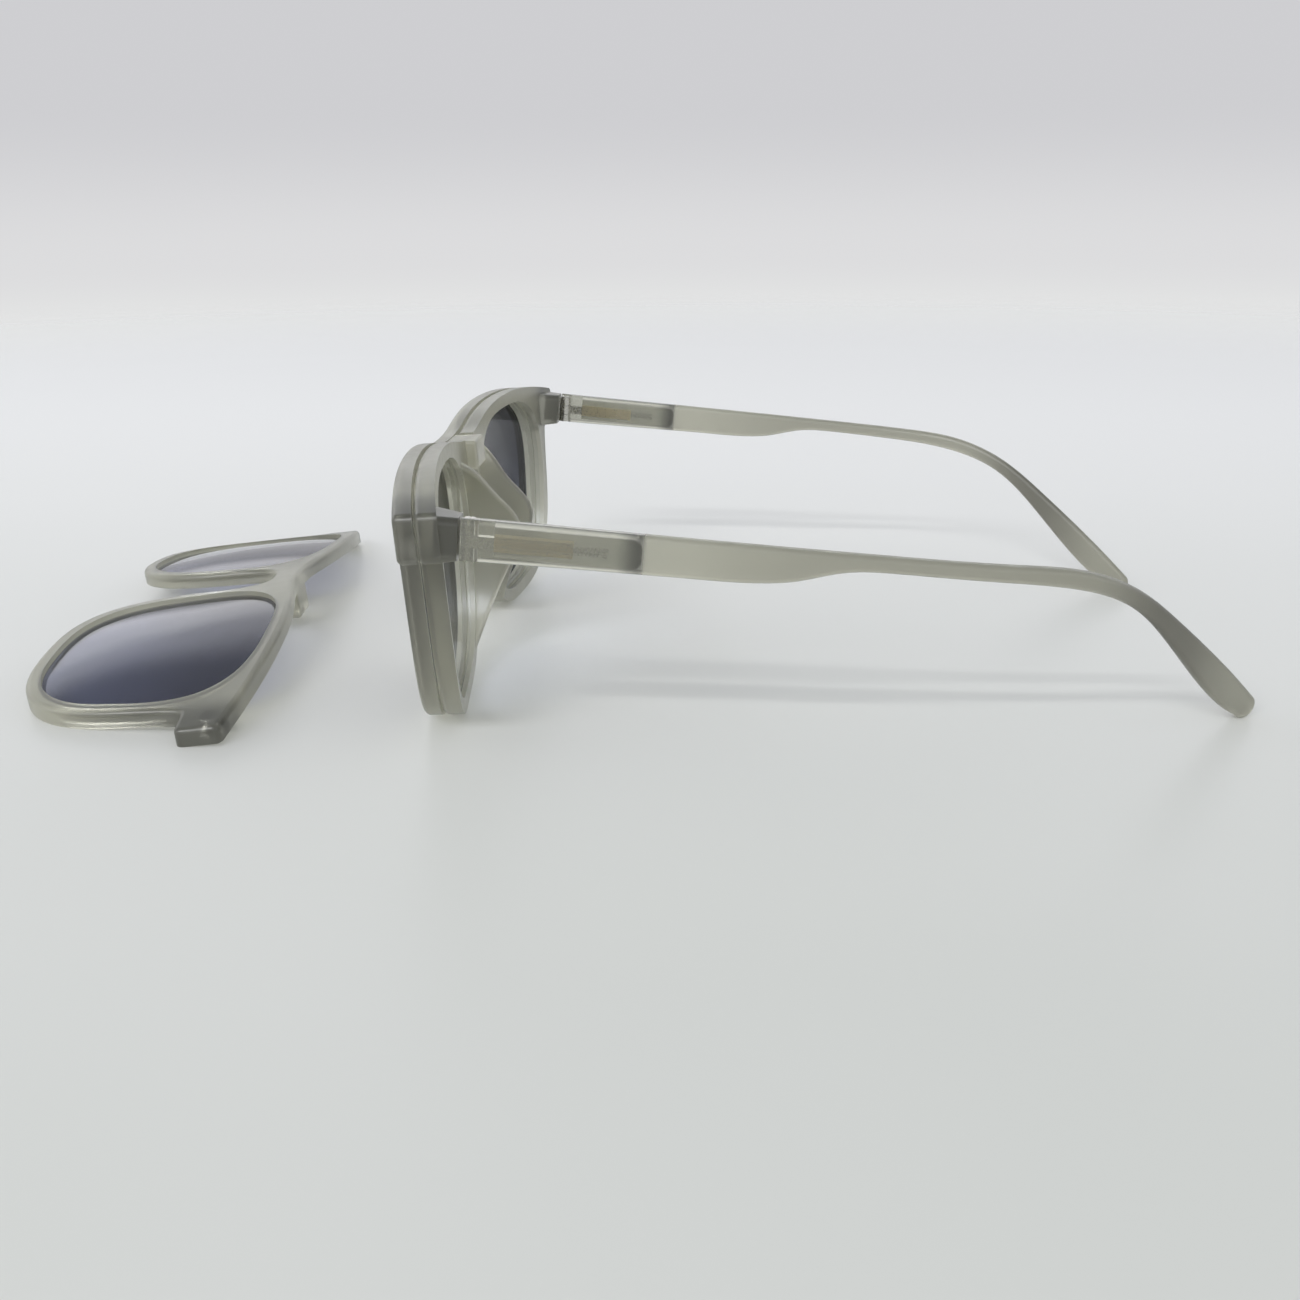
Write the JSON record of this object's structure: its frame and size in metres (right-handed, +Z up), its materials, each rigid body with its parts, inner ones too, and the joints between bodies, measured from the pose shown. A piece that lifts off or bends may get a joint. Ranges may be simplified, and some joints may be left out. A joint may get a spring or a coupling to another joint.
{
  "type": "clip on sunglasses set",
  "caption": "Spectacles with spring-hinged folding temples, a magnetic clip-on with tinted lenses hooked over the bridge, and a second clip-on lying face up.",
  "frame": {"origin": "on the table plane under the middle of the whole set's box, glasses and second clip together", "axes": "+X to the wearer's left, +Y from the fronts back along the temples, +Z up from the table"},
  "size_m": [0.1524, 0.2394, 0.0478],
  "materials": {
    "frosted_plastic": "frosted translucent grey, satin",
    "clear_lens": "clear, polished",
    "tinted_lens": "polished grey-violet tint",
    "hinge_steel": "bright machined",
    "spring_box_metal": "nickel silver, satin",
    "magnet": "nickel plated"
  },
  "bodies": {
    "front": {"front_frame": "frosted_plastic", "left_lens": "clear_lens", "left_frame_magnet": "magnet", "left_hinge_leaf": "hinge_steel", "left_hinge_screw": "hinge_steel", "right_lens": "clear_lens", "right_frame_magnet": "magnet", "right_hinge_leaf": "hinge_steel", "right_hinge_screw": "hinge_steel"},
    "left_slider": {"left_spring_slider": "hinge_steel", "left_rod_nut": "hinge_steel"},
    "left_temple": {"left_temple": "frosted_plastic", "left_spring_box": "spring_box_metal", "left_coil_spring": "hinge_steel"},
    "right_slider": {"right_spring_slider": "hinge_steel", "right_rod_nut": "hinge_steel"},
    "right_temple": {"right_temple": "frosted_plastic", "right_spring_box": "spring_box_metal", "right_coil_spring": "hinge_steel"},
    "worn_clip": {"worn_clip_frame": "frosted_plastic", "worn_clip_left_lens": "tinted_lens", "worn_clip_left_magnet": "magnet", "worn_clip_right_lens": "tinted_lens", "worn_clip_right_magnet": "magnet"},
    "spare_clip": {"spare_clip_frame": "frosted_plastic", "spare_clip_left_lens": "tinted_lens", "spare_clip_left_magnet": "magnet", "spare_clip_right_lens": "tinted_lens", "spare_clip_right_magnet": "magnet"}
  },
  "joints": [
    {"name": "left_fold", "type": "hinge", "parent": "front", "child": "left_slider", "pos_m": [0.07171, -0.01858, 0.03956], "axis": [0, 0.0946, 0.9955], "range_deg": [0, 81]},
    {"name": "right_fold", "type": "hinge", "parent": "front", "child": "right_slider", "pos_m": [-0.06229, -0.01858, 0.03956], "axis": [0, -0.0946, -0.9955], "range_deg": [0, 62]},
    {"name": "left_flex", "type": "slide", "parent": "left_slider", "child": "left_temple", "axis": [-0.0262, 0.9952, -0.0946], "range_m": [0, 0.001], "stiffness_N_per_m": 1500, "springref_m": -0.001, "deforming": ["left_coil_spring"]},
    {"name": "right_flex", "type": "slide", "parent": "right_slider", "child": "right_temple", "axis": [0.0262, 0.9952, -0.0946], "range_m": [0, 0.001], "stiffness_N_per_m": 1500, "springref_m": -0.001, "deforming": ["right_coil_spring"]},
    {"name": "clip_lift", "type": "slide", "parent": "front", "child": "worn_clip", "axis": [0, -0.0576, 0.9983], "range_m": [0, 0.06]},
    {"name": "spare_lift", "type": "slide", "parent": "front", "child": "spare_clip", "axis": [0, 0, 1], "range_m": [0, 0.06]}
  ]
}
